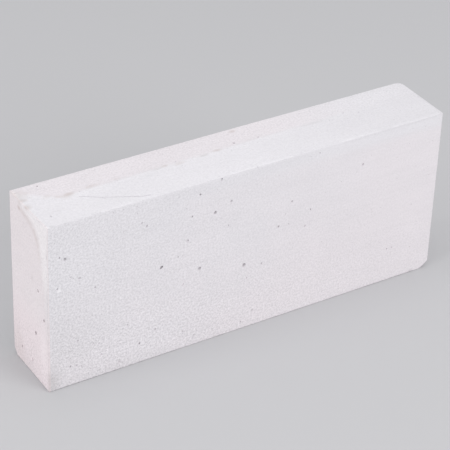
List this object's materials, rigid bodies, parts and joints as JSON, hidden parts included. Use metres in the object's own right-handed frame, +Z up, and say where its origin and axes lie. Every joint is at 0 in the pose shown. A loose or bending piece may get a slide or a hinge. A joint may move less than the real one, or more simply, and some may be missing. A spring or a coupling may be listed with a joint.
{
  "type": "aerated concrete block",
  "caption": "Rectangular wall block of white aerated concrete on its long narrow side, with wire-cut faces, eased arrises and worn corners; laid in courses to build walls.",
  "frame": {"origin": "middle of the base, on the floor that the block stands on", "axes": "+X along the length, +Y from the front face to the back face, +Z up"},
  "size_m": [0.6, 0.1, 0.25],
  "materials": {
    "aerated_concrete": "matt, finely pored, wire-cut"
  },
  "bodies": {
    "root": {"block": "aerated_concrete"}
  },
  "joints": []
}
